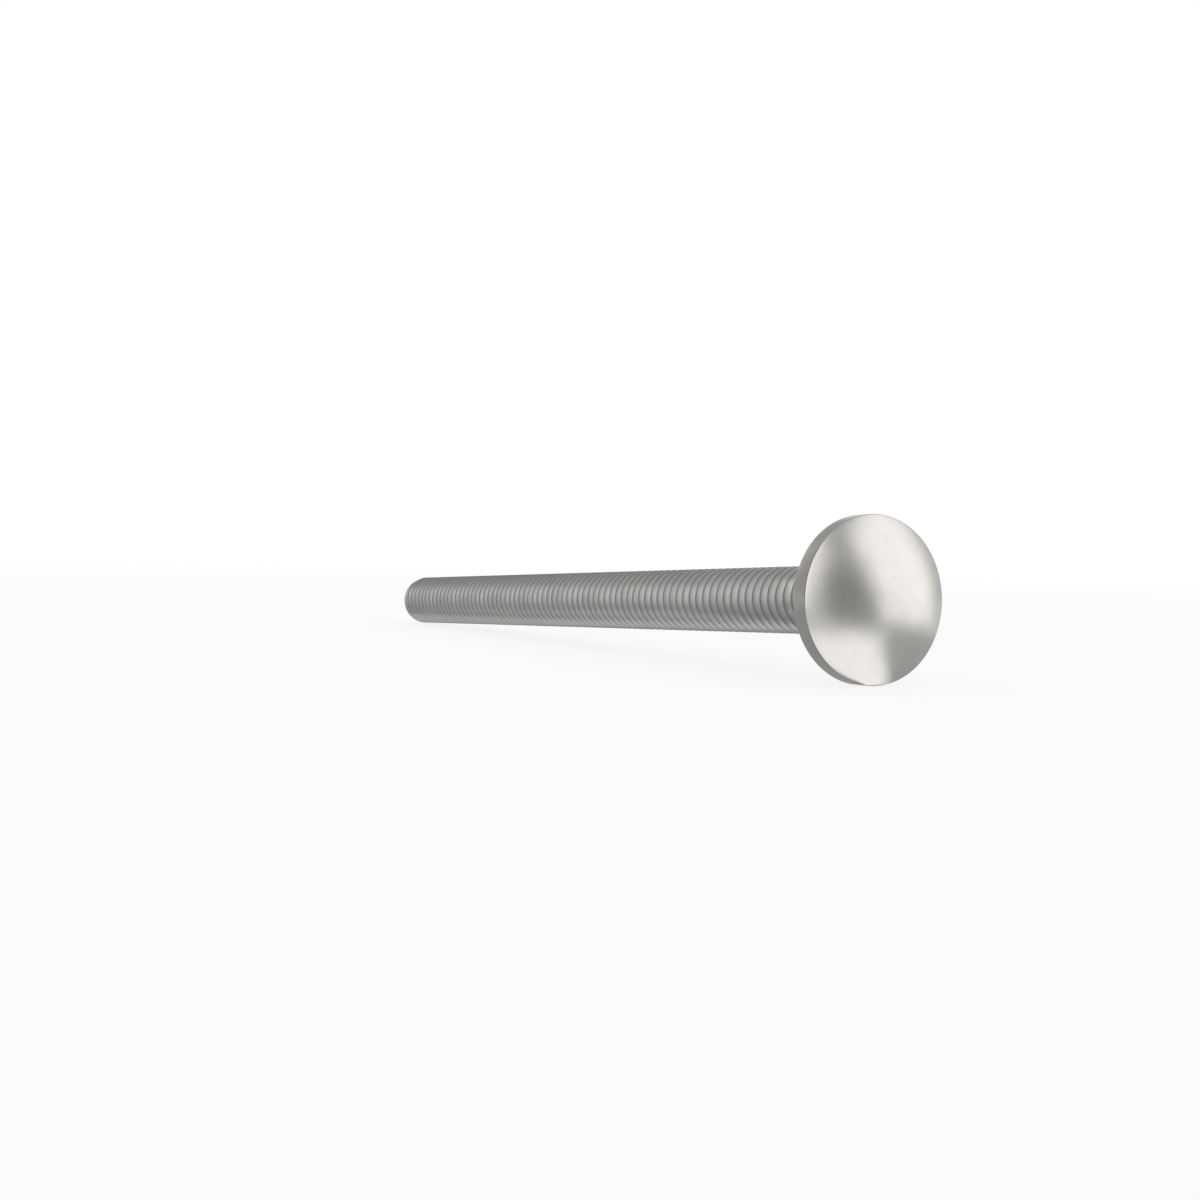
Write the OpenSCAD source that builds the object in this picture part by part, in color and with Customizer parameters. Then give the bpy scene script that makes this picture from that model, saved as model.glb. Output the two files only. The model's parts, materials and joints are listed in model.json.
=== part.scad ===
// Round-head carriage bolt, square under the head and threaded along its whole shank.
// It lies as it comes to rest: on the edge of its head and on the last full crest of its thread.

/* [Head] */
// Diameter of the head
head_d = 15.1; // [12:0.05:20]
// Height of the head, from its bearing face to the top of the dome
head_h = 3.7; // [2.6:0.05:5]
// Height of the upright rim below the dome
rim_h = 1.7; // [0.6:0.05:2.2]
// Radius rolled on both edges of the rim
rim_edge_r = 0.15; // [0.05:0.01:0.3]

/* [Square neck] */
// Width of the square across its flats
neck_w = 6.35; // [6.1:0.05:8]
// Depth of the square below the bearing face
neck_depth = 3.9; // [2:0.05:6]
// Radius of the square's upright corners
neck_corner_r = 0.6; // [0.2:0.05:0.9]
// Fillet between the bearing face and the square
neck_fillet_r = 0.4; // [0.1:0.05:0.7]
// Height over which the square's corners are drawn in at its lower end
neck_taper_h = 0.6; // [0.2:0.05:1]
// Distance by which the corners are drawn in
neck_taper_w = 0.7; // [0.2:0.05:1]

/* [Shank] */
// Length from the bearing face to the end of the point
length = 101.6; // [40:0.1:130]
// Diameter of the plain shank between the square and the thread
body_d = 5.6; // [5.2:0.05:6]
// Length of the plain shank
body_len = 0.6; // [0:0.05:3]

/* [Thread] */
// Diameter over the crests
thread_d = 6.35; // [5.9:0.05:6.7]
// Distance from one crest to the next
thread_pitch = 1.27; // [1:0.01:1.6]
// Angle between the two sides of a groove
thread_angle = 60; // [55:1:62]
// Length over which the thread grows from the plain shank to its full depth
runout_len = 2; // [0.5:0.1:5]

/* [Point] */
// Length of the cone at the end
point_len = 1.4; // [0.6:0.1:3]
// Diameter of the flat end
point_d = 4.5; // [3.5:0.05:5]

/* [Hidden] */
$fn = 96;
steel = "#B1AFAC";
// How far one form runs into the next, so that they join in one solid
join = 0.6;
// Flat facets that the thread's surface may be made of, which sets the steps round each turn
thread_facets = 11000;

head_r = head_d / 2;
dome_h = head_h - rim_h;
dome_r = (head_r * head_r + dome_h * dome_h) / (2 * dome_h);
dome_z = head_h - dome_r;

neck_flat_w = neck_w - 2 * neck_corner_r;
neck_corner_reach = neck_flat_w / sqrt(2) + neck_corner_r;

thread_r = thread_d / 2;
body_r = body_d / 2;
point_r = point_d / 2;
point_z = -length;

// Proportions of the thread: the sharp form is cut back by an eighth at its crests and by a sixth in its roots
sharp_h = thread_pitch / 2 / tan(thread_angle / 2);
crest_share = 1 / 8;
root_share = 1 / 6;
thread_depth = sharp_h * (1 - crest_share - root_share);
crest_w = thread_pitch * crest_share;
flank_w = thread_pitch * (1 - crest_share - root_share) / 2;

// The thread's surface is a grid. Its rows follow the helix, two on each crest and two in each root,
// and its steps go round the axis. One turn on from a row is the row four places higher.
rows_per_turn = 4;
crest_rows = 2;
row_rise = [0, crest_w, crest_w + flank_w, thread_pitch - flank_w];
first_row_z = point_z + crest_w;
runout_z = -neck_depth - body_len;
body_top_z = -neck_depth + join;
turns = floor((body_top_z - first_row_z) / thread_pitch) - 1;
last_row = turns * rows_per_turn;
steps = floor(thread_facets / (2 * last_row));

// At rest the head's lower edge and the last full crest touch the ground.
// The centre of the edge's radius stands at edge_reach from the axis.
edge_reach = head_r - rim_edge_r;
crest_z = point_z + point_len;
rest_tilt = atan((edge_reach - thread_r) / (rim_edge_r - crest_z))
    + asin(rim_edge_r / norm([edge_reach - thread_r, rim_edge_r - crest_z]));
seat_height = edge_reach * cos(rest_tilt) + rim_edge_r * (1 - sin(rest_tilt));
dome_end_x = dome_z * cos(rest_tilt) + dome_r;
point_end_x = point_z * cos(rest_tilt) - point_r * sin(rest_tilt);
seat_x = -(dome_end_x + point_end_x) / 2;

// The sliver outside a radius r about centre, between two directions. It reaches well past the corner
module corner_sliver(centre, r, from, to) {
    reach = 2 * r;
    middle = (from + to) / 2;
    difference() {
        polygon([
            centre,
            centre + reach * [cos(from), sin(from)],
            centre + 2 * reach * [cos(middle), sin(middle)],
            centre + reach * [cos(to), sin(to)]
        ]);
        translate(centre) circle(r);
    }
}

module head_outline() {
    edge_rise = sqrt(pow(dome_r - rim_edge_r, 2) - pow(edge_reach, 2));
    difference() {
        intersection() {
            translate([0, dome_z]) circle(dome_r);
            square([head_r, head_h]);
        }
        corner_sliver([edge_reach, dome_z + edge_rise], rim_edge_r, 0, atan(edge_rise / edge_reach));
        corner_sliver([edge_reach, rim_edge_r], rim_edge_r, -90, 0);
    }
}

module head() {
    rotate_extrude() head_outline();
}

// Upright prism of the square, with its corners drawn in by a cone at the lower end
module square_prism() {
    taper_z = neck_taper_h - neck_depth;
    intersection() {
        translate([0, 0, -neck_depth]) linear_extrude(neck_depth + join) rounded_square();
        union() {
            translate([0, 0, -neck_depth])
                cylinder(neck_taper_h, neck_corner_reach - neck_taper_w, neck_corner_reach);
            translate([0, 0, taper_z]) cylinder(neck_depth, r = neck_corner_reach);
        }
    }
}

module rounded_square() {
    square([neck_w, neck_flat_w], center = true);
    square([neck_flat_w, neck_w], center = true);
    for (x = [-1, 1], y = [-1, 1]) translate([x, y] * neck_flat_w / 2) circle(neck_corner_r);
}

// Section of the fillet: its upright side stands neck_corner_r out from the axis of a corner
module fillet_section() {
    difference() {
        translate([0, -neck_fillet_r]) square([neck_corner_r + neck_fillet_r, neck_fillet_r + join]);
        translate([neck_corner_r + neck_fillet_r, -neck_fillet_r]) circle(neck_fillet_r);
    }
}

// One side of the square and one corner, four times round
module neck_fillet() {
    for (quarter = [0:3]) rotate(90 * quarter) translate([1, 1, 0] * neck_flat_w / 2) {
        rotate([90, 0, 0]) linear_extrude(neck_flat_w) fillet_section();
        rotate_extrude(angle = 90) fillet_section();
    }
}

module neck() {
    square_prism();
    neck_fillet();
}

// Radius of the grid at a height, on a row that lies on a crest or in a root
function cone_r(z) = point_r + (z - point_z) * (thread_r - point_r) / point_len;
function grown(z) = max(0, min(1, (runout_z - z) / runout_len));
function cut_r(row) = row % rows_per_turn < crest_rows ? thread_r : thread_r - thread_depth;
function row_r(row, z) = min(cone_r(z), body_r + grown(z) * (cut_r(row) - body_r));
function row_z(row, step) =
    first_row_z + thread_pitch * (floor(row / rows_per_turn) + step / steps) + row_rise[row % rows_per_turn];
function on_ring(r, z, step) = [r * cos(360 * step / steps), r * sin(360 * step / steps), z];
function grid_point(row, step) = let (z = row_z(row, step)) on_ring(row_r(row, z), z, step);

// Places of the points in the list: the grid, then the ring of the flat end, then the ring in the neck
function grid(row, step) = step < steps ? row * steps + step : grid(row + rows_per_turn, step - steps);
function end_ring(step) = (last_row + 1) * steps + step % steps;
function neck_ring(step) = (last_row + 2) * steps + step % steps;
function four_sided(a, b, c, d) = [[a, b, c], [a, c, d]];
function fan(tip, edge) = [for (i = [1:len(edge) - 1]) [tip, edge[i - 1], edge[i]]];

module threaded_shank() {
    points = concat(
        [for (row = [0:last_row], step = [0:steps - 1]) grid_point(row, step)],
        [for (step = [0:steps - 1]) on_ring(point_r, point_z, step)],
        [for (step = [0:steps - 1]) on_ring(body_r, body_top_z, step)]
    );
    last = steps - 1;
    wall = [
        for (row = [0:last_row - 1], step = [0:last])
            if (step < last || row + rows_per_turn < last_row)
                each four_sided(grid(row, step), grid(row + 1, step), grid(row + 1, step + 1), grid(row, step + 1))
    ];
    lower = [
        for (step = [0:last - 1])
            each four_sided(end_ring(step), grid(0, step), grid(0, step + 1), end_ring(step + 1))
    ];
    upper = [
        for (step = [0:last - 1])
            each four_sided(grid(last_row, step), neck_ring(step), neck_ring(step + 1), grid(last_row, step + 1))
    ];
    // The first and the last turn each end in a step of one pitch, closed by a fan
    lower_step = fan(grid(0, last), concat(
        [for (row = [rows_per_turn:-1:0]) grid(row, 0)],
        [end_ring(0), end_ring(last)]
    ));
    upper_step = fan(grid(last_row, 0), concat(
        [neck_ring(0), neck_ring(last)],
        [for (row = [last_row:-1:last_row - rows_per_turn]) grid(row, last)]
    ));
    ends = [
        [for (step = [0:last]) end_ring(step)],
        [for (step = [last:-1:0]) neck_ring(step)]
    ];
    polyhedron(points, concat(wall, lower, upper, lower_step, upper_step, ends));
}

module bolt() {
    color(steel)
        translate([seat_x, 0, seat_height])
            rotate([0, 90 - rest_tilt, 0]) {
                head();
                neck();
                threaded_shank();
            }
}

bolt();
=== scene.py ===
"""A round-head carriage bolt lying on a pale floor: its thread, its steel, the studio and the camera."""

import json
import math

import bmesh
import bpy
from mathutils import Matrix, Vector


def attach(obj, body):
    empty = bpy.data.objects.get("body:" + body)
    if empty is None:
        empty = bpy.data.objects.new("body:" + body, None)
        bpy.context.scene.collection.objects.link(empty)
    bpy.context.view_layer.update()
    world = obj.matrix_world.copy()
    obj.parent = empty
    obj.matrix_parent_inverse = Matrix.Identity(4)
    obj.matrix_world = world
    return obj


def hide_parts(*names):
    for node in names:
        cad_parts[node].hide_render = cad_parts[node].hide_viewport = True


MM = 0.001

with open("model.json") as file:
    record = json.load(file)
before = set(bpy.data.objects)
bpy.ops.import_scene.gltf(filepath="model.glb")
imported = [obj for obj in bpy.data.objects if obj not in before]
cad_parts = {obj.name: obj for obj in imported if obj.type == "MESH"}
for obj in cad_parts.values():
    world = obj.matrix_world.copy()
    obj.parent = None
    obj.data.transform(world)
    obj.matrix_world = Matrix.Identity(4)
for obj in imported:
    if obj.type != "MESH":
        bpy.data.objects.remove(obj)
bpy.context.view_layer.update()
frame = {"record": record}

# The bolt's place comes from the frame: its axis towards the dome, and the centre of the face under its head
MOUNTS = {mount["name"]: mount for mount in frame["record"]["mounts"]}
NECK_DEPTH = MOUNTS["neck"]["dims"]["length_mm"] * MM
THREAD_R = MOUNTS["thread"]["dims"]["r_mm"] * MM
AXIS = -Vector(MOUNTS["seat"]["axis"]).normalized()
SEAT = Vector(MOUNTS["neck"]["pos_m"]) + AXIS * NECK_DEPTH / 2
SIDE = Vector((0, 1, 0))
DOWN = SIDE.cross(AXIS)
BOLT = Matrix((DOWN, SIDE, AXIS)).transposed().to_4x4()
BOLT.translation = SEAT

# Head, as heights above the face under it
HEAD_R = 7.55 * MM
HEAD_H = 3.7 * MM
RIM_H = 1.7 * MM
RIM_EDGE_R = 0.15 * MM

# Square neck
NECK_W = 6.35 * MM
NECK_CORNER_R = 0.6 * MM
NECK_FILLET_R = 0.4 * MM
NECK_TAPER_H = 0.6 * MM
NECK_TAPER_W = 0.7 * MM

# Shank
LENGTH = 101.6 * MM
PLAIN_R = 2.8 * MM
PLAIN_LENGTH = 0.6 * MM
RUNOUT_LENGTH = 2 * MM
POINT_LENGTH = 1.4 * MM
POINT_R = 2.25 * MM

# Thread: the sharp 60 degree form is cut back by an eighth at its crests and by a sixth in its roots.
# Rolling leaves both round.
PITCH = 1.27 * MM
CREST_SHARE = 1 / 8
ROOT_SHARE = 1 / 6
SHARP_H = PITCH / 2 / math.tan(math.radians(30))
CREST_WIDTH = PITCH * CREST_SHARE
ROOT_WIDTH = PITCH * ROOT_SHARE
ROOT_R = THREAD_R - SHARP_H * (1 - CREST_SHARE - ROOT_SHARE)
CREST_ROUNDING = 0.12 * MM
ROOT_ROUNDING = 0.17 * MM
ROUNDING_STEPS = 2
# The helix starts below the flat end, which cuts it, so that the end has its full share of thread
TURNS_BELOW_END = 2
FIRST_CREST = -LENGTH + CREST_WIDTH * 1.5 - TURNS_BELOW_END * PITCH

THREAD_SIZES = {
    "Pitch": PITCH,
    "Crest Radius": THREAD_R,
    "Root Radius": ROOT_R,
    "Crest Width": CREST_WIDTH,
    "Root Width": ROOT_WIDTH,
    "Crest Rounding": CREST_ROUNDING,
    "Root Rounding": ROOT_ROUNDING,
    "First Crest": FIRST_CREST,
    "Run-out Start": -NECK_DEPTH - PLAIN_LENGTH,
    "Run-out Length": RUNOUT_LENGTH,
    "Plain Radius": PLAIN_R,
    "Neck": -NECK_DEPTH,
    "End": -LENGTH,
    "Point Length": POINT_LENGTH,
    "Point Radius": POINT_R,
}

# Points round each ring of the bolt, as many in each quarter, and steps round one corner of the neck
STEPS = 80
CORNER_STEPS = 8
# Rings along the bolt in each of its curved stretches
TAPER_RINGS = 6
FILLET_RINGS = 6
EDGE_RINGS = 6
DOME_RINGS = 24
WELD = 0.001 * MM
SHARP_ANGLE = math.radians(34)

# Steel
STEEL = "#B1B0AD"
STEEL_ROUGHNESS = 0.305
GRAIN_ROUGHNESS = 0.022
GRAIN_SIZE = 0.25 * MM
PEEL_SIZE = 1.2 * MM
PEEL_RELIEF = 0.006 * MM
CLOUD_SIZE = 2.5 * MM
CLOUD_SHADE = 0.05
# Most of a noise lies between these values
NOISE_LOW = 0.3
NOISE_HIGH = 0.7
# Colours of the thread, painted shade by the share of its depth from the roots to the crests: dark
# shade in the roots, the sides, the duller crests
THREAD_STOPS = (
    (0.0, "#4A4948"),
    (0.25, "#4C4B4A"),
    (0.36, "#A8A7A5"),
    (0.6, "#A5A4A2"),
    (0.86, "#939290"),
    (1.0, "#7C7B79"),
)
# Painted shade in the roots, uneven along each groove by this much of radius
ROOT_SHADE_UNEVEN = 0.015 * MM
# The thread's painted shade fades out over this height above the flat end
UNSHADED_END = 0.6 * MM

# Studio, with the head in its middle. Brightness 1 is white.
HEAD_MIDDLE = SEAT + AXIS * RIM_H
HEAD_FOOT = Vector((HEAD_MIDDLE.x, HEAD_MIDDLE.y, 0))
AMBIENT = 0.8
FLOOR_R = 6000 * MM
FLOOR_STEPS = 128
FLOOR_MATT = "#FAFAFA"
FLOOR_NEAR = 100 * MM
FLOOR_FAR = 500 * MM
FLOOR_GLOW = 0.84

# The cloth of the softboxes is a little warmer than the white cards. A glow between these is a mixture.
SOFTBOX_WARM = "#FFFDFC"
CARD_GLOW = 1.3
SOFTBOX_GLOW = 1.9
CARD_STEPS = 16
CARD_LIFT = 0.2 * MM

# Standing cards, curved round the head at one distance: glow, then rows of an elevation with the azimuths of
# the row's two ends, in degrees. Azimuth 0 is -Y and 90 is +X. The lowest row is just under the horizon.
CARD_DISTANCE = 2000 * MM
LOW = -0.2
STANDING_CARDS = {
    "softbox_left": (2.12, ((LOW, 38, 73), (16, 38, 75), (24, 38, 80), (31, 38, 84), (42, 38, 89))),
    "softbox_left_high": (1.9, ((42, 38, 80), (50, 38, 80))),
    "flag_middle": (0.3, ((LOW, 73, 119), (16, 75, 113), (24, 80, 110), (31, 84, 108), (42, 89, 107))),
    "softbox_right": (
        2.1,
        (
            (LOW, 119, 173),
            (16, 113, 173),
            (24, 110, 173),
            (31, 108, 173),
            (42, 107, 173),
            (47, 118, 173),
            (55, 140, 173),
        ),
    ),
    "flag_high": (0.62, ((42, 89, 107), (47, 86, 118), (50, 80, 126))),
    "flag_higher": (0.72, ((50, 38, 126), (55, 38, 140))),
    "flag_top": (0.72, ((55, 0, 360), (72, 0, 360), (90, 0, 360))),
    "card_back": (0.7, ((LOW, 173, 215), (25, 173, 215), (55, 173, 215))),
    "card_front": (0.3, ((LOW, -30, 38), (25, -30, 38), (55, -30, 38))),
    "card_left": (0.58, ((LOW, -120, -30), (25, -120, -30), (55, -120, -30))),
}

# Cards that lie on the floor round the head's foot, seen only in reflections: glow at both ends of the rows,
# then rows of a distance in mm with the azimuths of the row's two ends. The pool is a painted pool of light
# on the floor in front of the head; floor_right, floor_right_far and the dim end of pool_edge are a painted
# shadow of the head on the floor behind it.
LYING_CARDS = {
    "floor_far_left": ((1.0, 1.0), ((16, 20, 75), (2000, 20, 75))),
    "floor_far_middle": ((0.3, 0.3), ((28, 75, 119), (2000, 75, 119))),
    "floor_far_right": ((2.1, 2.1), ((44, 119, 173), (2000, 119, 173))),
    "floor_band_right": ((1.3, 1.3), ((28, 119, 190), (44, 119, 173))),
    "floor_band": ((0.9, 0.9), ((16, 75, 119), (28, 75, 119))),
    "pool": (
        (1.95, 1.95),
        ((0.1, 20, 120), (1.5, 20, 126), (2.6, 20, 123), (4.3, 20, 116), (7, 20, 114), (16, 20, 114)),
    ),
    "pool_edge": (
        (1.95, 0.66),
        ((0.1, 120, 200), (1.5, 126, 188), (2.6, 123, 165), (4.3, 116, 144), (7, 114, 132), (16, 114, 126)),
    ),
    "floor_right": (
        (0.66, 0.66),
        ((0.1, 200, 205), (1.5, 188, 202), (2.6, 165, 200), (4.3, 144, 200), (7, 132, 200), (16, 126, 200)),
    ),
    "floor_right_far": ((0.66, 0.66), ((16, 119, 200), (28, 119, 200))),
    "floor_left": ((0.5, 0.5), ((0.1, -75, 0), (11, -60, 20), (150, -60, 20))),
}

# Slats beside the shank, between two places on the axis. They stand LOUVRE_BESIDE away from it, and flare
# out past the bend. Their rows are a height in mm above the axis with the glow there.
LOUVRE_START = -112 * MM
LOUVRE_END = -1.5 * MM
LOUVRE_BESIDE = -5.5 * MM
LOUVRE_BEND = -11 * MM
LOUVRE_FLARE = 0.18
LOUVRE_AZIMUTH = -66
SLAT_SPACING = 1.5 * MM
SLAT_WIDTH = 1.0 * MM
LOUVRE_ROWS = (
    (-3, 0.62),
    (-2.5, 0.64),
    (-1, 0.76),
    (0.2, 1.0),
    (1.6, 1.18),
    (3, 1.26),
    (4.6, 1.16),
    (8.5, 0.8),
    (13, 0.62),
)

# Strip on the floor below the shank, from end to end in X: a place in Y in mm with the glow at both ends
STRIP_START = -60 * MM
STRIP_END = 44 * MM
STRIP_ROWS = (
    (-0.5, (1.25, 1.38)),
    (-2.6, (1.15, 1.25)),
    (-4, (0.72, 0.87)),
    (-5.6, (0.66, 0.72)),
)

# Camera of the photograph: it looks at the bolt from the head's end. The places of the seat's centre are
# measured to its right and ahead of it.
CAMERA_OFF_AXIS = math.radians(28.60)
CAMERA_SENSOR = 36
PICTURE_PX = 1200
FOCAL_PX = 1666
SEAT_RIGHT = 23.289 * MM
SEAT_AHEAD = 147.467 * MM
CLIP_NEAR = 5 * MM
CLIP_FAR = 50000 * MM


def add(tree, kind, links=(), **settings):
    """Adds a node, sets its own settings, and links or sets its inputs."""
    made = tree.nodes.new(kind)
    for name, value in settings.items():
        setattr(made, name, value)
    for name, value in dict(links).items():
        if isinstance(value, bpy.types.NodeSocket):
            tree.links.new(value, made.inputs[name])
        else:
            made.inputs[name].default_value = value
    return made


def colour(hex_code):
    """Linear RGBA of an sRGB hex value."""
    parts = [int(hex_code[i : i + 2], 16) / 255 for i in (1, 3, 5)]
    linear = [c / 12.92 if c <= 0.04045 else ((c + 0.055) / 1.055) ** 2.4 for c in parts]
    return (*linear, 1)


def thread_tree():
    """Geometry Nodes tree of the shank. Its rows follow the helix, and its steps go round the axis."""
    tree = bpy.data.node_groups.new("threaded_shank", "GeometryNodeTree")
    tree.interface.new_socket("Geometry", in_out="OUTPUT", socket_type="NodeSocketGeometry")
    for name in THREAD_SIZES:
        tree.interface.new_socket(name, in_out="INPUT", socket_type="NodeSocketFloat")
    tree.interface.new_socket("Turns", in_out="INPUT", socket_type="NodeSocketInt")
    tree.interface.new_socket("Steps", in_out="INPUT", socket_type="NodeSocketInt")
    tree.interface.new_socket("Material", in_out="INPUT", socket_type="NodeSocketMaterial")
    size = add(tree, "NodeGroupInput").outputs

    # One pitch of the profile, from the middle of one crest to the next: x along the axis, y outwards
    half_crest = add(tree, "ShaderNodeMath", {0: size["Crest Width"], 1: 0.5}, operation="MULTIPLY")
    crest_end = add(
        tree, "ShaderNodeMath", {0: size["Pitch"], 1: half_crest.outputs[0]}, operation="SUBTRACT"
    )
    half_root = add(tree, "ShaderNodeMath", {0: size["Root Width"], 1: 0.5}, operation="MULTIPLY")
    half_pitch = add(tree, "ShaderNodeMath", {0: size["Pitch"], 1: 0.5}, operation="MULTIPLY")
    root_start = add(
        tree, "ShaderNodeMath", {0: half_pitch.outputs[0], 1: half_root.outputs[0]}, operation="SUBTRACT"
    )
    root_end = add(
        tree, "ShaderNodeMath", {0: half_pitch.outputs[0], 1: half_root.outputs[0]}, operation="ADD"
    )
    corners = [
        (0.0, size["Crest Radius"]),
        (half_crest.outputs[0], size["Crest Radius"]),
        (root_start.outputs[0], size["Root Radius"]),
        (root_end.outputs[0], size["Root Radius"]),
        (crest_end.outputs[0], size["Crest Radius"]),
        (size["Pitch"], size["Crest Radius"]),
    ]
    first_root, last_root = 2, 3
    corner = add(tree, "GeometryNodeIndexSwitch", data_type="VECTOR")
    while len(corner.index_switch_items) < len(corners):
        corner.index_switch_items.new()
    place = add(tree, "GeometryNodeInputIndex")
    tree.links.new(place.outputs[0], corner.inputs["Index"])
    for number, (along, out) in enumerate(corners):
        point = add(tree, "ShaderNodeCombineXYZ", {"X": along, "Y": out})
        tree.links.new(point.outputs[0], corner.inputs[number + 1])
    line = add(tree, "GeometryNodeCurvePrimitiveLine")
    resampled = add(tree, "GeometryNodeResampleCurve", {"Curve": line.outputs[0], "Count": len(corners)})
    sharp = add(
        tree,
        "GeometryNodeSetPosition",
        {"Geometry": resampled.outputs[0], "Position": corner.outputs[0]},
    )
    from_root = add(
        tree,
        "FunctionNodeCompare",
        {2: place.outputs[0], 3: first_root},
        data_type="INT",
        operation="GREATER_EQUAL",
    )
    to_root = add(
        tree,
        "FunctionNodeCompare",
        {2: place.outputs[0], 3: last_root},
        data_type="INT",
        operation="LESS_EQUAL",
    )
    is_root = add(
        tree, "FunctionNodeBooleanMath", {0: from_root.outputs[0], 1: to_root.outputs[0]}, operation="AND"
    )
    rounding = add(
        tree,
        "GeometryNodeSwitch",
        {"Switch": is_root.outputs[0], "False": size["Crest Rounding"], "True": size["Root Rounding"]},
        input_type="FLOAT",
    )
    rounded = add(
        tree,
        "GeometryNodeFilletCurve",
        {"Curve": sharp.outputs[0], "Count": ROUNDING_STEPS, "Radius": rounding.outputs[0]},
        mode="POLY",
    )
    count = add(
        tree, "GeometryNodeAttributeDomainSize", {"Geometry": rounded.outputs[0]}, component="CURVE"
    )
    rows_per_turn = add(
        tree, "FunctionNodeIntegerMath", {0: count.outputs["Point Count"], 1: 1}, operation="SUBTRACT"
    )

    # A flat grid with one row for each point of the profile on each turn
    row_total = add(
        tree,
        "FunctionNodeIntegerMath",
        {0: rows_per_turn.outputs[0], 1: size["Turns"], 2: 1},
        operation="MULTIPLY_ADD",
    )
    columns = add(tree, "FunctionNodeIntegerMath", {0: size["Steps"], 1: 1}, operation="ADD")
    grid = add(
        tree,
        "GeometryNodeMeshGrid",
        {"Vertices X": row_total.outputs[0], "Vertices Y": columns.outputs[0]},
    )
    index = add(tree, "GeometryNodeInputIndex")
    by_column = {0: index.outputs[0], 1: columns.outputs[0]}
    row = add(tree, "FunctionNodeIntegerMath", by_column, operation="DIVIDE_FLOOR")
    step = add(tree, "FunctionNodeIntegerMath", by_column, operation="FLOORED_MODULO")
    by_turn = {0: row.outputs[0], 1: rows_per_turn.outputs[0]}
    turn = add(tree, "FunctionNodeIntegerMath", by_turn, operation="DIVIDE_FLOOR")
    on_profile = add(tree, "FunctionNodeIntegerMath", by_turn, operation="FLOORED_MODULO")
    profile = add(
        tree,
        "GeometryNodeSampleIndex",
        {"Geometry": rounded.outputs[0], "Index": on_profile.outputs[0]},
        data_type="FLOAT_VECTOR",
        domain="POINT",
    )
    tree.links.new(add(tree, "GeometryNodeInputPosition").outputs[0], profile.inputs["Value"])
    profile_point = add(tree, "ShaderNodeSeparateXYZ", {0: profile.outputs[0]})

    # Height: it rises by a pitch in each turn, and stops at the flat end and at the neck
    share = add(tree, "ShaderNodeMath", {0: step.outputs[0], 1: size["Steps"]}, operation="DIVIDE")
    turns_up = add(tree, "ShaderNodeMath", {0: turn.outputs[0], 1: share.outputs[0]}, operation="ADD")
    rise = add(
        tree,
        "ShaderNodeMath",
        {0: turns_up.outputs[0], 1: size["Pitch"], 2: profile_point.outputs["X"]},
        operation="MULTIPLY_ADD",
    )
    free_height = add(
        tree, "ShaderNodeMath", {0: rise.outputs[0], 1: size["First Crest"]}, operation="ADD"
    )
    height = add(
        tree, "ShaderNodeClamp", {"Value": free_height.outputs[0], "Min": size["End"], "Max": size["Neck"]}
    )

    # Radius: the profile grows out of the plain shank under the neck, and the cone of the point cuts it
    full_depth = add(
        tree, "ShaderNodeMath", {0: size["Run-out Start"], 1: size["Run-out Length"]}, operation="SUBTRACT"
    )
    radius = add(
        tree,
        "ShaderNodeMapRange",
        {
            "Value": height.outputs[0],
            "From Min": size["Run-out Start"],
            "From Max": full_depth.outputs[0],
            "To Min": size["Plain Radius"],
            "To Max": profile_point.outputs["Y"],
        },
    )
    cone_top = add(tree, "ShaderNodeMath", {0: size["End"], 1: size["Point Length"]}, operation="ADD")
    cone = add(
        tree,
        "ShaderNodeMapRange",
        {
            "Value": height.outputs[0],
            "From Min": size["End"],
            "From Max": cone_top.outputs[0],
            "To Min": size["Point Radius"],
            "To Max": size["Crest Radius"],
        },
    )
    cut = add(tree, "ShaderNodeMath", {0: radius.outputs[0], 1: cone.outputs[0]}, operation="MINIMUM")
    angle = add(tree, "ShaderNodeMath", {0: share.outputs[0], 1: math.tau}, operation="MULTIPLY")
    cosine = add(tree, "ShaderNodeMath", {0: angle.outputs[0]}, operation="COSINE")
    sine = add(tree, "ShaderNodeMath", {0: angle.outputs[0]}, operation="SINE")
    x = add(tree, "ShaderNodeMath", {0: cosine.outputs[0], 1: cut.outputs[0]}, operation="MULTIPLY")
    y = add(tree, "ShaderNodeMath", {0: sine.outputs[0], 1: cut.outputs[0]}, operation="MULTIPLY")
    around = add(
        tree, "ShaderNodeCombineXYZ", {"X": x.outputs[0], "Y": y.outputs[0], "Z": height.outputs[0]}
    )
    wrapped = add(
        tree, "GeometryNodeSetPosition", {"Geometry": grid.outputs["Mesh"], "Position": around.outputs[0]}
    )
    wall = add(tree, "GeometryNodeFlipFaces", {"Mesh": wrapped.outputs[0]})

    # The flat end, which faces away from the head
    disc = add(
        tree,
        "GeometryNodeMeshCircle",
        {"Vertices": size["Steps"], "Radius": size["Point Radius"]},
        fill_type="TRIANGLE_FAN",
    )
    drop = add(tree, "ShaderNodeCombineXYZ", {"Z": size["End"]})
    low_disc = add(
        tree, "GeometryNodeTransform", {"Geometry": disc.outputs[0], "Translation": drop.outputs[0]}
    )
    end = add(tree, "GeometryNodeFlipFaces", {"Mesh": low_disc.outputs[0]})

    joined = add(tree, "GeometryNodeJoinGeometry")
    tree.links.new(wall.outputs[0], joined.inputs[0])
    tree.links.new(end.outputs[0], joined.inputs[0])
    welded = add(tree, "GeometryNodeMergeByDistance", {"Geometry": joined.outputs[0], "Distance": WELD})
    realized = add(tree, "GeometryNodeRealizeInstances", {"Geometry": welded.outputs[0]})
    finished = add(
        tree, "GeometryNodeSetMaterial", {"Geometry": realized.outputs[0], "Material": size["Material"]}
    )
    add(tree, "NodeGroupOutput", {"Geometry": finished.outputs[0]})
    return tree


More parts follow.
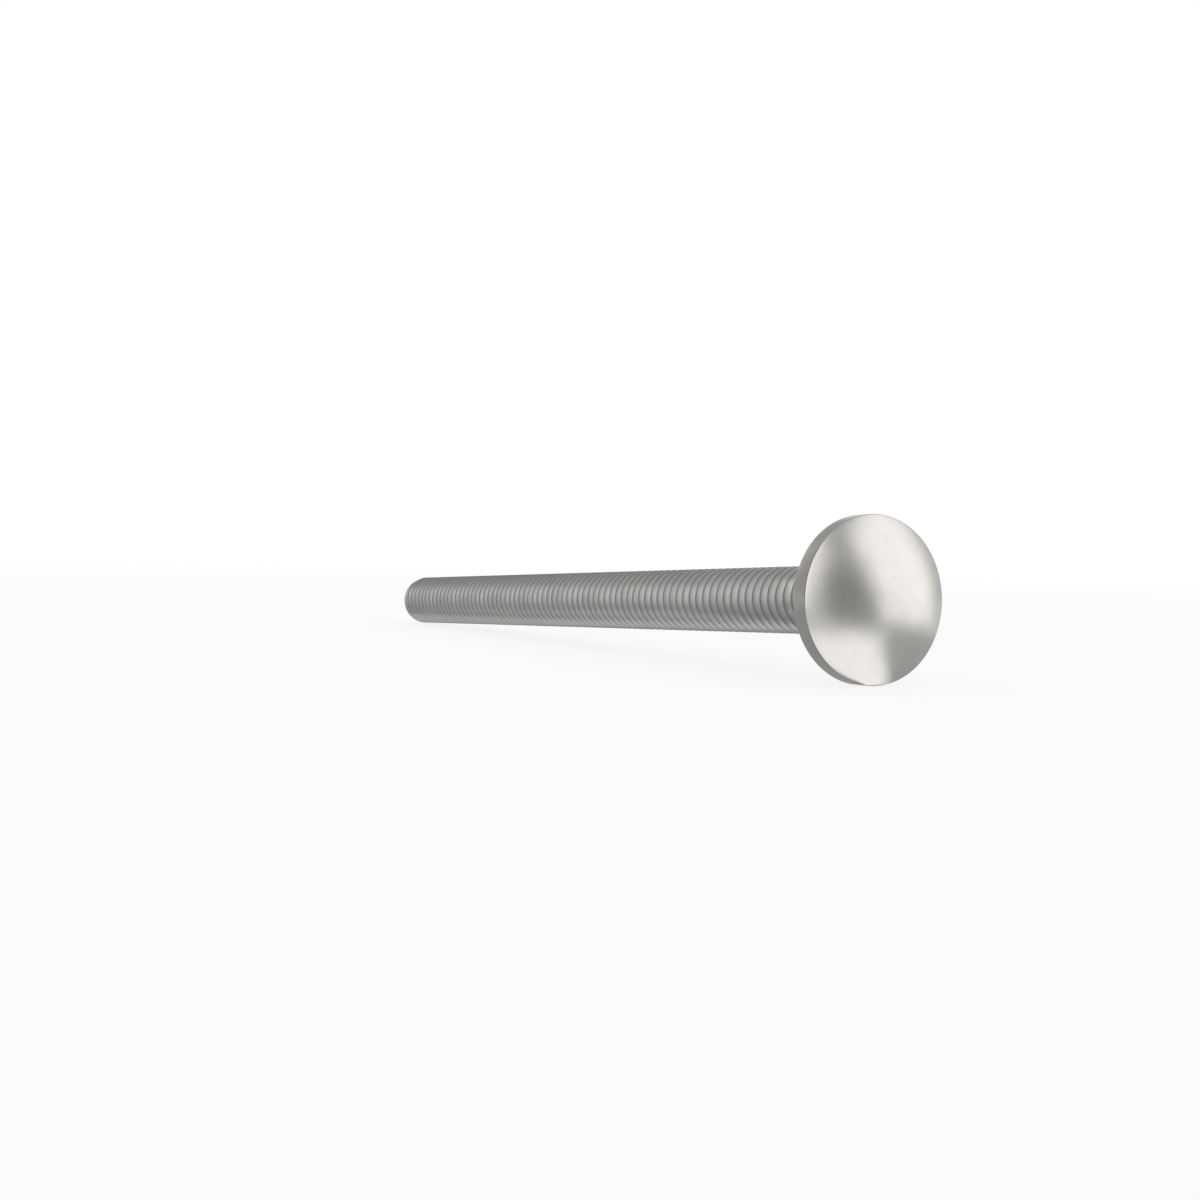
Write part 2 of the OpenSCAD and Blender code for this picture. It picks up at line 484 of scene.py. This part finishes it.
def threaded_shank(material):
    """Mesh of the shank, from its flat end up to its ring under the neck, which is left open."""
    holder = bpy.data.objects.new("threaded_shank", bpy.data.meshes.new("threaded_shank"))
    bpy.context.scene.collection.objects.link(holder)
    modifier = holder.modifiers.new("thread", "NODES")
    modifier.node_group = thread_tree()
    values = dict(THREAD_SIZES)
    values["Turns"] = math.ceil((-NECK_DEPTH - FIRST_CREST) / PITCH) + 1
    values["Steps"] = STEPS
    values["Material"] = material
    for item in modifier.node_group.interface.items_tree:
        if item.in_out == "INPUT":
            modifier[item.identifier] = values[item.name]
    evaluated = holder.evaluated_get(bpy.context.evaluated_depsgraph_get())
    mesh = bpy.data.meshes.new_from_object(evaluated)
    bpy.data.objects.remove(holder)
    return mesh


def circle_ring(radius, height):
    """Points round the axis at a height."""
    turns = [math.tau * step / STEPS for step in range(STEPS)]
    return [(radius * math.cos(a), radius * math.sin(a), height) for a in turns]


def square_ring(grown, reach, height):
    """Outline of the neck at a height, grown outwards by a distance and cut by a circle of radius reach."""
    quarter = STEPS // 4
    flat_steps = (quarter - CORNER_STEPS) // 2
    side = NECK_W / 2 + grown
    corner = NECK_CORNER_R + grown
    flat_end = NECK_W / 2 - NECK_CORNER_R
    if reach < math.hypot(side, flat_end):
        flat_end = math.sqrt(reach**2 - side**2)
    outline = []
    for step in range(quarter):
        if step <= flat_steps:
            point = Vector((side, flat_end * step / flat_steps))
        elif step >= flat_steps + CORNER_STEPS:
            point = Vector((flat_end * (quarter - step) / flat_steps, side))
        elif flat_end < NECK_W / 2 - NECK_CORNER_R:
            start = math.atan2(flat_end, side)
            turn = start + (math.pi / 2 - 2 * start) * (step - flat_steps) / CORNER_STEPS
            point = reach * Vector((math.cos(turn), math.sin(turn)))
        else:
            turn = math.pi / 2 * (step - flat_steps) / CORNER_STEPS
            point = Vector((flat_end, flat_end)) + corner * Vector((math.cos(turn), math.sin(turn)))
        if point.length > reach:
            point = point * reach / point.length
        outline.append(point)
    ring = []
    for quarter_turn in range(4):
        turned = Matrix.Rotation(quarter_turn * math.pi / 2, 2)
        ring += [(*(turned @ point), height) for point in outline]
    return ring


def arc(centre, radius, start, end, count):
    """Points (out, up) along an arc in the profile of the head, between two angles in degrees."""
    turns = [math.radians(start + (end - start) * step / count) for step in range(count + 1)]
    return [(centre[0] + radius * math.cos(a), centre[1] + radius * math.sin(a)) for a in turns]


def head_and_neck():
    """Vertices and faces of the neck and the head, from the ring on the shank to the top of the dome."""
    corner_reach = math.sqrt(2) * (NECK_W / 2 - NECK_CORNER_R) + NECK_CORNER_R
    rings = [circle_ring(PLAIN_R, -NECK_DEPTH)]
    for step in range(TAPER_RINGS + 1):
        share = step / TAPER_RINGS
        reach = corner_reach - NECK_TAPER_W * (1 - share)
        rings.append(square_ring(0, reach, -NECK_DEPTH + NECK_TAPER_H * share))
    for step in range(FILLET_RINGS + 1):
        turn = math.pi / 2 * step / FILLET_RINGS
        grown = NECK_FILLET_R * (1 - math.cos(turn))
        rings.append(square_ring(grown, HEAD_R, -NECK_FILLET_R * (1 - math.sin(turn))))

    dome_h = HEAD_H - RIM_H
    dome_r = (HEAD_R**2 + dome_h**2) / (2 * dome_h)
    dome_centre = (0, HEAD_H - dome_r)
    edge_out = HEAD_R - RIM_EDGE_R
    edge_up = math.sqrt((dome_r - RIM_EDGE_R) ** 2 - edge_out**2)
    dome_start = math.degrees(math.atan2(edge_up, edge_out))
    profile = arc((edge_out, RIM_EDGE_R), RIM_EDGE_R, -90, 0, EDGE_RINGS)
    profile += arc((edge_out, dome_centre[1] + edge_up), RIM_EDGE_R, 0, dome_start, EDGE_RINGS)
    profile += arc(dome_centre, dome_r, dome_start, 90, DOME_RINGS)[1:-1]
    rings += [circle_ring(out, up) for out, up in profile]

    points = [point for ring in rings for point in ring] + [(0, 0, HEAD_H)]
    top = len(points) - 1
    faces = []
    for low in range(len(rings) - 1):
        for step in range(STEPS):
            beside = (step + 1) % STEPS
            a, b = low * STEPS + step, low * STEPS + beside
            faces.append((a, b, b + STEPS, a + STEPS))
    last = (len(rings) - 1) * STEPS
    faces += [(last + step, last + (step + 1) % STEPS, top) for step in range(STEPS)]
    return points, faces


def carriage_bolt(material):
    """The whole bolt as one closed mesh, in its place in the frame."""
    shank = threaded_shank(material)
    upper = bpy.data.meshes.new("head_and_neck")
    points, faces = head_and_neck()
    upper.from_pydata(points, [], faces)
    form = bmesh.new()
    form.from_mesh(shank)
    form.from_mesh(upper)
    bmesh.ops.remove_doubles(form, verts=form.verts, dist=WELD)
    bmesh.ops.recalc_face_normals(form, faces=form.faces)
    form.transform(BOLT)
    mesh = bpy.data.meshes.new("carriage_bolt")
    form.to_mesh(mesh)
    form.free()
    bpy.data.meshes.remove(shank)
    bpy.data.meshes.remove(upper)
    mesh.shade_smooth()
    mesh.set_sharp_from_angle(angle=SHARP_ANGLE)
    mesh.materials.clear()
    mesh.materials.append(material)
    bolt = bpy.data.objects.new("carriage_bolt", mesh)
    bpy.context.scene.collection.objects.link(bolt)
    return bolt


def satin_steel():
    """Stainless steel, cold-headed, thread-rolled and tumbled. Tumbling leaves an even satin with soft
    reflections. On the thread the colour is painted shade by depth: near black in the roots, where the
    grooves lie in shade, and a duller grey on the crests than on the sides."""
    material = bpy.data.materials.new("stainless_steel_satin")
    material.use_nodes = True
    tree = material.node_tree
    tree.nodes.clear()

    # The bolt's own coordinates: z along its axis, and its radius
    where = add(tree, "ShaderNodeTexCoord")
    local = add(tree, "ShaderNodeMapping", {"Vector": where.outputs["Object"]}, vector_type="TEXTURE")
    local.inputs["Location"].default_value = SEAT
    local.inputs["Rotation"].default_value = BOLT.to_euler()
    parts = add(tree, "ShaderNodeSeparateXYZ", {0: local.outputs[0]})
    flat = add(tree, "ShaderNodeCombineXYZ", {"X": parts.outputs["X"], "Y": parts.outputs["Y"]})
    radius = add(tree, "ShaderNodeVectorMath", {0: flat.outputs[0]}, operation="LENGTH")

    # Clouds in the tumbled finish, a few millimetres wide
    clouds = add(
        tree, "ShaderNodeTexNoise", {"Vector": local.outputs[0], "Scale": 1 / CLOUD_SIZE, "Detail": 3.0}
    )
    # Grain left by the tumbling stones. The real grain is about 0.02 mm, drawn coarser so that it shows.
    grain = add(
        tree, "ShaderNodeTexNoise", {"Vector": local.outputs[0], "Scale": 1 / GRAIN_SIZE, "Detail": 2.0}
    )
    # Painted shade in the roots of the thread, uneven along each groove
    uneven = add(
        tree,
        "ShaderNodeMapRange",
        {"Value": clouds.outputs[0], "To Min": -ROOT_SHADE_UNEVEN, "To Max": ROOT_SHADE_UNEVEN},
    )
    shade_radius = add(
        tree, "ShaderNodeMath", {0: radius.outputs["Value"], 1: uneven.outputs[0]}, operation="ADD"
    )
    depth = add(
        tree,
        "ShaderNodeMapRange",
        {"Value": shade_radius.outputs[0], "From Min": ROOT_R, "From Max": THREAD_R},
    )
    # Painted shade of the thread by depth: dark in the roots, duller on the crests
    thread_shade = add(tree, "ShaderNodeValToRGB", {"Fac": depth.outputs[0]})
    stops = thread_shade.color_ramp.elements
    while len(stops) < len(THREAD_STOPS):
        stops.new(0.5)
    for stop, (place, hex_code) in zip(stops, THREAD_STOPS):
        stop.position = place
        stop.color = colour(hex_code)
    thread_top = -NECK_DEPTH - PLAIN_LENGTH
    below_neck = add(
        tree, "ShaderNodeMath", {0: parts.outputs["Z"], 1: thread_top}, operation="LESS_THAN"
    )
    # The thread's painted shade stops short of the flat end and the rim of the point, which keep the steel's
    # colour
    above_end = add(
        tree,
        "ShaderNodeMapRange",
        {"Value": parts.outputs["Z"], "From Min": -LENGTH + UNSHADED_END / 2, "From Max": -LENGTH + UNSHADED_END},
    )
    on_shank = add(
        tree, "ShaderNodeMath", {0: below_neck.outputs[0], 1: above_end.outputs[0]}, operation="MULTIPLY"
    )
    tone = add(
        tree, "ShaderNodeMix", {"Factor": on_shank.outputs[0]}, data_type="RGBA", blend_type="MIX"
    )
    tone.inputs[6].default_value = colour(STEEL)
    tree.links.new(thread_shade.outputs[0], tone.inputs[7])
    shade = add(
        tree,
        "ShaderNodeMapRange",
        {
            "Value": clouds.outputs[0],
            "From Min": NOISE_LOW,
            "From Max": NOISE_HIGH,
            "To Min": 1 - CLOUD_SHADE,
            "To Max": 1 + CLOUD_SHADE,
        },
    )
    tinted = add(
        tree, "ShaderNodeVectorMath", {0: tone.outputs[2], "Scale": shade.outputs[0]}, operation="SCALE"
    )

    rough = add(
        tree,
        "ShaderNodeMapRange",
        {
            "Value": grain.outputs[0],
            "From Min": NOISE_LOW,
            "From Max": NOISE_HIGH,
            "To Min": STEEL_ROUGHNESS - GRAIN_ROUGHNESS,
            "To Max": STEEL_ROUGHNESS + GRAIN_ROUGHNESS,
        },
    )
    # Cold-formed steel is never quite even: waves about a millimetre long and a few thousandths high
    peel = add(
        tree, "ShaderNodeTexNoise", {"Vector": local.outputs[0], "Scale": 1 / PEEL_SIZE, "Detail": 0.0}
    )
    relief = add(
        tree,
        "ShaderNodeBump",
        {"Height": peel.outputs[0], "Distance": PEEL_RELIEF, "Strength": 1.0},
    )
    shader = add(
        tree,
        "ShaderNodeBsdfPrincipled",
        {
            "Base Color": tinted.outputs[0],
            "Metallic": 1.0,
            "Roughness": rough.outputs[0],
            "Normal": relief.outputs[0],
        },
    )
    add(tree, "ShaderNodeOutputMaterial", {"Surface": shader.outputs[0]})
    return material


def seen_directly(tree):
    """1 for camera, glossy and transmission rays."""
    rays = add(tree, "ShaderNodeLightPath").outputs
    seen = add(
        tree, "ShaderNodeMath", {0: rays["Is Camera Ray"], 1: rays["Is Glossy Ray"]}, operation="MAXIMUM"
    )
    return add(
        tree, "ShaderNodeMath", {0: seen.outputs[0], 1: rays["Is Transmission Ray"]}, operation="MAXIMUM"
    ).outputs[0]


def pale_floor():
    """Matt white floor. It keeps the bolt's shadow, and runs into the white behind it without an edge."""
    material = bpy.data.materials.new("floor_matt_white")
    material.use_nodes = True
    tree = material.node_tree
    tree.nodes.clear()
    matt = add(tree, "ShaderNodeBsdfDiffuse", {"Color": colour(FLOOR_MATT)})
    white = add(tree, "ShaderNodeEmission", {"Color": (1, 1, 1, 1), "Strength": 1.0})
    where = add(tree, "ShaderNodeTexCoord")
    away = add(tree, "ShaderNodeVectorMath", {0: where.outputs["Object"]}, operation="LENGTH")
    glow = add(
        tree,
        "ShaderNodeMapRange",
        {
            "Value": away.outputs["Value"],
            "From Min": FLOOR_NEAR,
            "From Max": FLOOR_FAR,
            "To Min": FLOOR_GLOW,
            "To Max": 1.0,
        },
        interpolation_type="SMOOTHSTEP",
    )
    share = add(
        tree, "ShaderNodeMath", {0: glow.outputs[0], 1: seen_directly(tree)}, operation="MULTIPLY"
    )
    mixed = add(
        tree, "ShaderNodeMixShader", {0: share.outputs[0], 1: matt.outputs[0], 2: white.outputs[0]}
    )
    add(tree, "ShaderNodeOutputMaterial", {"Surface": mixed.outputs[0]})

    form = bmesh.new()
    bmesh.ops.create_circle(form, cap_ends=True, segments=FLOOR_STEPS, radius=FLOOR_R)
    mesh = bpy.data.meshes.new("floor")
    form.to_mesh(mesh)
    form.free()
    mesh.materials.append(material)
    floor = bpy.data.objects.new("floor", mesh)
    bpy.context.scene.collection.objects.link(floor)


def studio_world():
    """Even white light from all round, seen as pure white."""
    world = bpy.data.worlds.new("white_studio")
    bpy.context.scene.world = world
    world.use_nodes = True
    tree = world.node_tree
    tree.nodes.clear()
    level = add(
        tree,
        "ShaderNodeMapRange",
        {"Value": seen_directly(tree), "To Min": AMBIENT, "To Max": 1.0},
    )
    light = add(tree, "ShaderNodeBackground", {"Color": (1, 1, 1, 1), "Strength": level.outputs[0]})
    add(tree, "ShaderNodeOutputWorld", {"Surface": light.outputs[0]})


def towards(azimuth, elevation):
    """Unit direction from the head. Azimuth 0 is -Y, 90 is +X; both angles are in degrees."""
    turn, rise = math.radians(azimuth), math.radians(elevation)
    return Vector((math.sin(turn) * math.cos(rise), -math.cos(turn) * math.cos(rise), math.sin(rise)))


def softbox_cloth():
    """Cloth of the softboxes and cards. Each point of a card says in its level how bright it glows there."""
    material = bpy.data.materials.new("softbox_cloth")
    material.use_nodes = True
    tree = material.node_tree
    tree.nodes.clear()
    level = add(tree, "ShaderNodeAttribute", attribute_name="level")
    warmth = add(
        tree,
        "ShaderNodeMapRange",
        {"Value": level.outputs["Fac"], "From Min": CARD_GLOW, "From Max": SOFTBOX_GLOW},
    )
    tone = add(tree, "ShaderNodeMix", {"Factor": warmth.outputs[0]}, data_type="RGBA", blend_type="MIX")
    tone.inputs[6].default_value = (1, 1, 1, 1)
    tone.inputs[7].default_value = colour(SOFTBOX_WARM)
    glow = add(tree, "ShaderNodeEmission", {"Color": tone.outputs[2], "Strength": level.outputs["Fac"]})
    add(tree, "ShaderNodeOutputMaterial", {"Surface": glow.outputs[0]})
    return material


def card(name, rows, levels, cloth, stride=1):
    """Card or softbox that only reflections show. Levels give the glow at both ends of each row. With a
    stride of 2 every second strip across the rows is left open, as between the slats of a louvre."""
    points = [point for row in rows for point in row]
    across = len(rows[0])
    faces = []
    for v in range(len(rows) - 1):
        for u in range(0, across - 1, stride):
            a = v * across + u
            faces.append((a, a + 1, a + across + 1, a + across))
    mesh = bpy.data.meshes.new(name)
    mesh.from_pydata([point + Vector((0, 0, CARD_LIFT)) for point in points], [], faces)
    glow = [start + (end - start) * u / (across - 1) for start, end in levels for u in range(across)]
    mesh.attributes.new("level", "FLOAT", "POINT").data.foreach_set("value", glow)
    mesh.materials.append(cloth)
    made = bpy.data.objects.new(name, mesh)
    bpy.context.scene.collection.objects.link(made)
    made.visible_camera = False
    made.visible_diffuse = False
    made.visible_shadow = False


def fanned(centre, distance, elevation, start, end):
    """Points at a distance from a centre, fanned out between two azimuths."""
    azimuths = [start + (end - start) * step / CARD_STEPS for step in range(CARD_STEPS + 1)]
    return [centre + towards(azimuth, elevation) * distance for azimuth in azimuths]


def cards_round_head(cloth):
    for name, (level, outline) in STANDING_CARDS.items():
        rows = [
            fanned(HEAD_MIDDLE, CARD_DISTANCE, elevation, start, end) for elevation, start, end in outline
        ]
        card(name, rows, [(level, level)] * len(rows), cloth)
    for name, (levels, outline) in LYING_CARDS.items():
        rows = [fanned(HEAD_FOOT, distance * MM, 0, start, end) for distance, start, end in outline]
        card(name, rows, [levels] * len(rows), cloth)


def cards_beside_shank(cloth):
    """Upright slats along the shank, and a strip on the floor below it. The sides of the thread that face
    the head reflect the slats, and its crests look out between them."""
    half_slat = towards(LOUVRE_AZIMUTH, 0) * SLAT_WIDTH / 2
    feet = []
    for number in range(round((LOUVRE_END - LOUVRE_START) / SLAT_SPACING) + 1):
        along = LOUVRE_START + SLAT_SPACING * number
        beside = LOUVRE_BESIDE - max(0, along - LOUVRE_BEND) * LOUVRE_FLARE
        middle = SEAT + AXIS * along + SIDE * beside
        feet += [middle - half_slat, middle + half_slat]
    rows = [[foot - DOWN * height * MM for foot in feet] for height, level in LOUVRE_ROWS]
    card("louvre_beside", rows, [(level, level) for height, level in LOUVRE_ROWS], cloth, stride=2)

    strip = [[Vector((STRIP_START, y * MM, 0)), Vector((STRIP_END, y * MM, 0))] for y, levels in STRIP_ROWS]
    card("floor_strip", strip, [levels for y, levels in STRIP_ROWS], cloth)


def photo_camera():
    right = AXIS * math.sin(CAMERA_OFF_AXIS) + SIDE * math.cos(CAMERA_OFF_AXIS)
    ahead = -AXIS * math.cos(CAMERA_OFF_AXIS) + SIDE * math.sin(CAMERA_OFF_AXIS)
    camera = bpy.data.cameras.new("camera")
    camera.sensor_width = CAMERA_SENSOR
    camera.lens = CAMERA_SENSOR * FOCAL_PX / PICTURE_PX
    camera.clip_start = CLIP_NEAR
    camera.clip_end = CLIP_FAR
    holder = bpy.data.objects.new("camera", camera)
    bpy.context.scene.collection.objects.link(holder)
    placed = Matrix((right, -DOWN, -ahead)).transposed().to_4x4()
    placed.translation = SEAT - right * SEAT_RIGHT - ahead * SEAT_AHEAD
    holder.matrix_world = placed
    bpy.context.scene.camera = holder


photo_camera()
bolt = carriage_bolt(satin_steel())
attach(bolt, "root")
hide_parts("bolt")
pale_floor()
studio_world()
cloth = softbox_cloth()
cards_round_head(cloth)
cards_beside_shank(cloth)

bpy.context.scene.view_settings.view_transform = "Standard"
